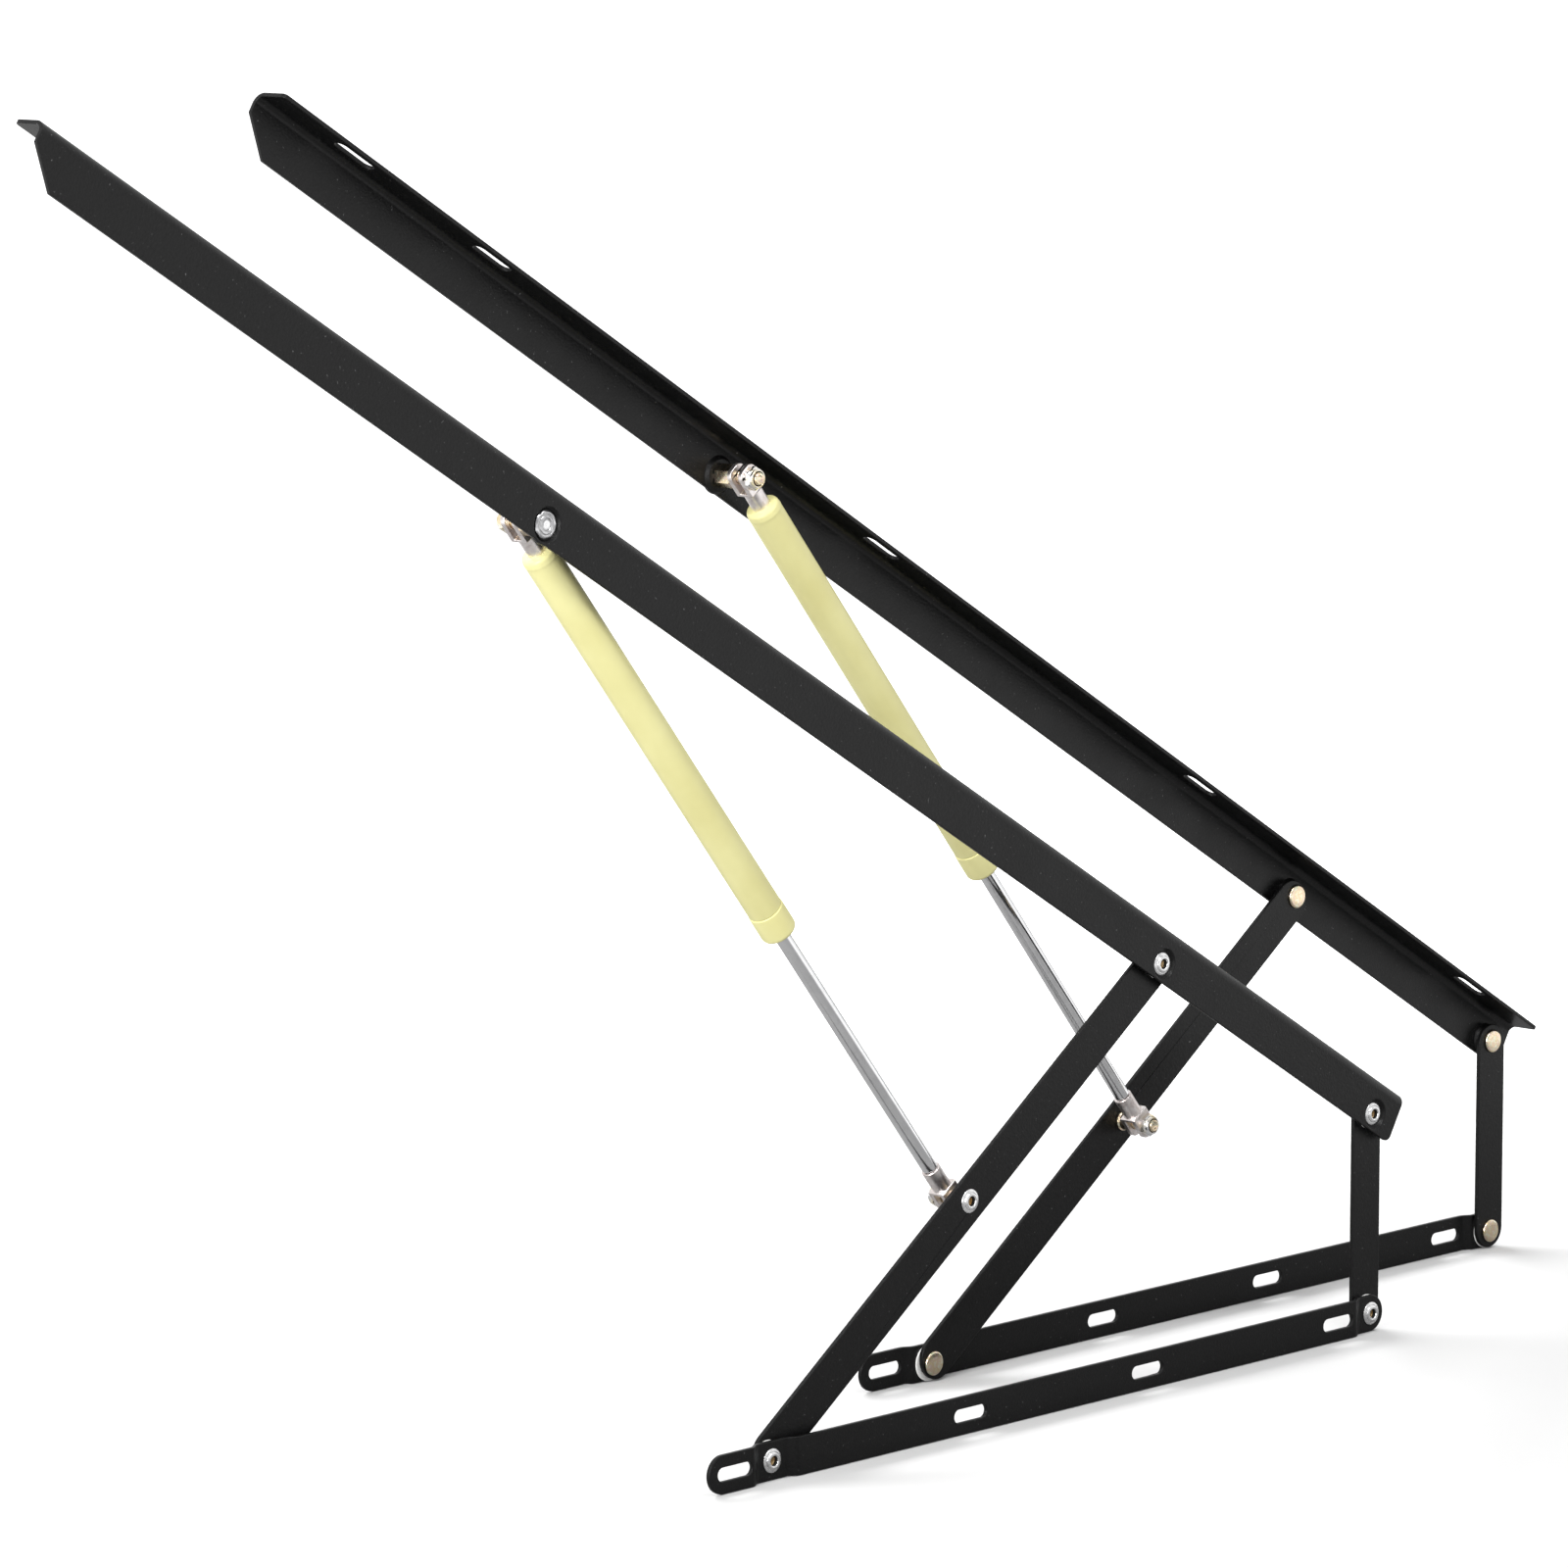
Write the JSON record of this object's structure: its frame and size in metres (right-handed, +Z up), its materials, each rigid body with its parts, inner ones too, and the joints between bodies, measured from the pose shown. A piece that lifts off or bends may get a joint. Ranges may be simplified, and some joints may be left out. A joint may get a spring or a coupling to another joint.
{
  "type": "bed lift mechanism",
  "caption": "Pair of gas-spring storage-bed lift units: slotted base bars, front and rear links, gas springs and angled lift rails, shown open",
  "frame": {"origin": "middle of the pair's box, on the floor plane below the base bars", "axes": "+X to the rear (head end), where the rails are low; +Y to the left unit; +Z up"},
  "size_m": [1.3914, 0.126, 0.8396],
  "materials": {
    "black_coat": "satin black powder coat",
    "bright_zinc": "bright zinc plate",
    "yellow_zinc": "yellow passivated zinc",
    "fork_zinc": "clear zinc with a pink tint",
    "nylon": "white nylon",
    "tube_paint": "pale yellow paint",
    "rod_chrome": "ground and chromed rod",
    "plain_steel": "machined steel",
    "seal_rubber": "black rubber"
  },
  "bodies": {
    "base": {"right_base_bar": "black_coat", "right_base_rivets": "yellow_zinc", "right_base_washers": "bright_zinc", "right_base_spacers": "nylon", "left_base_bar": "black_coat", "left_base_rivets": "yellow_zinc", "left_base_washers": "bright_zinc", "left_base_spacers": "nylon"},
    "right_rear_arm": {"right_rear_link": "black_coat"},
    "right_front_arm": {"right_front_link": "black_coat", "right_front_rail_rivet_head": "yellow_zinc", "right_lower_stud_tail": "yellow_zinc", "right_lower_stud_washer": "bright_zinc"},
    "right_rail": {"right_lift_rail": "black_coat", "right_rail_spacers": "nylon", "right_rail_washers": "bright_zinc", "right_rear_rail_rivet": "yellow_zinc", "right_front_rail_rivet_tail": "yellow_zinc", "right_upper_stud": "yellow_zinc", "right_upper_nut": "yellow_zinc"},
    "right_spring_tube": {"right_upper_fork": "fork_zinc", "right_gas_tube": "tube_paint", "right_end_collar": "tube_paint", "right_rod_guide": "plain_steel", "right_rod_seal": "seal_rubber"},
    "right_spring_rod": {"right_lower_fork": "fork_zinc", "right_piston": "plain_steel", "right_piston_rod": "rod_chrome", "right_lower_stud": "yellow_zinc", "right_lower_nut": "yellow_zinc"},
    "left_rear_arm": {"left_rear_link": "black_coat"},
    "left_front_arm": {"left_front_link": "black_coat", "left_front_rail_rivet_head": "yellow_zinc", "left_lower_stud_tail": "yellow_zinc", "left_lower_stud_washer": "bright_zinc"},
    "left_rail": {"left_lift_rail": "black_coat", "left_rail_spacers": "nylon", "left_rail_washers": "bright_zinc", "left_rear_rail_rivet": "yellow_zinc", "left_front_rail_rivet_tail": "yellow_zinc", "left_upper_stud": "yellow_zinc", "left_upper_nut": "yellow_zinc"},
    "left_spring_tube": {"left_upper_fork": "fork_zinc", "left_gas_tube": "tube_paint", "left_end_collar": "tube_paint", "left_rod_guide": "plain_steel", "left_rod_seal": "seal_rubber"},
    "left_spring_rod": {"left_lower_fork": "fork_zinc", "left_piston": "plain_steel", "left_piston_rod": "rod_chrome", "left_lower_stud": "yellow_zinc", "left_lower_nut": "yellow_zinc"}
  },
  "joints": [
    {"name": "right_lift", "type": "hinge", "parent": "base", "child": "right_rear_arm", "pos_m": [0.40638, -0.053, 0.012], "axis": [0, 1, 0], "range_deg": [0, 61.15]},
    {"name": "right_rail_pivot", "type": "hinge", "parent": "right_rear_arm", "child": "right_rail", "pos_m": [0.40842, -0.053, 0.14398], "axis": [0, 1, 0], "range_deg": [-92.57, 0], "stiffness_Nm_per_rad": 3.6, "springref_deg": 171.89},
    {"name": "right_front_pivot", "type": "hinge", "parent": "base", "child": "right_front_arm", "pos_m": [-0.14862, -0.053, 0.012], "axis": [0, 1, 0], "range_deg": [0, 27.98]},
    {"name": "right_spring_pivot", "type": "hinge", "parent": "right_rail", "child": "right_spring_tube", "pos_m": [-0.32478, -0.0365, 0.59153], "axis": [0, 1, 0], "range_deg": [-15.96, 0]},
    {"name": "right_rod_slide", "type": "slide", "parent": "right_spring_tube", "child": "right_spring_rod", "axis": [-0.621, 0, 0.7838], "range_m": [0, 0.16422]},
    {"name": "left_lift", "type": "hinge", "parent": "base", "child": "left_rear_arm", "pos_m": [0.66338, 0.053, 0.012], "axis": [0, 1, 0], "range_deg": [0, 61.15]},
    {"name": "left_rail_pivot", "type": "hinge", "parent": "left_rear_arm", "child": "left_rail", "pos_m": [0.66542, 0.053, 0.14398], "axis": [0, 1, 0], "range_deg": [-92.57, 0], "stiffness_Nm_per_rad": 3.6, "springref_deg": 171.89},
    {"name": "left_front_pivot", "type": "hinge", "parent": "base", "child": "left_front_arm", "pos_m": [0.10838, 0.053, 0.012], "axis": [0, 1, 0], "range_deg": [0, 27.98]},
    {"name": "left_spring_pivot", "type": "hinge", "parent": "left_rail", "child": "left_spring_tube", "pos_m": [-0.06778, 0.0365, 0.59153], "axis": [0, 1, 0], "range_deg": [-15.96, 0]},
    {"name": "left_rod_slide", "type": "slide", "parent": "left_spring_tube", "child": "left_spring_rod", "axis": [-0.621, 0, 0.7838], "range_m": [0, 0.16422]}
  ],
  "couplings": [
    {"joint": "right_rail_pivot", "follows": "right_lift", "ratio": -1.5135},
    {"joint": "right_front_pivot", "follows": "right_lift", "ratio": 0.45725},
    {"joint": "right_spring_pivot", "follows": "right_lift", "ratio": -0.2607},
    {"joint": "right_rod_slide", "follows": "right_lift", "m_per_rad": 0.15378},
    {"joint": "left_rail_pivot", "follows": "left_lift", "ratio": -1.5135},
    {"joint": "left_front_pivot", "follows": "left_lift", "ratio": 0.45725},
    {"joint": "left_spring_pivot", "follows": "left_lift", "ratio": -0.2607},
    {"joint": "left_rod_slide", "follows": "left_lift", "m_per_rad": 0.15378}
  ]
}
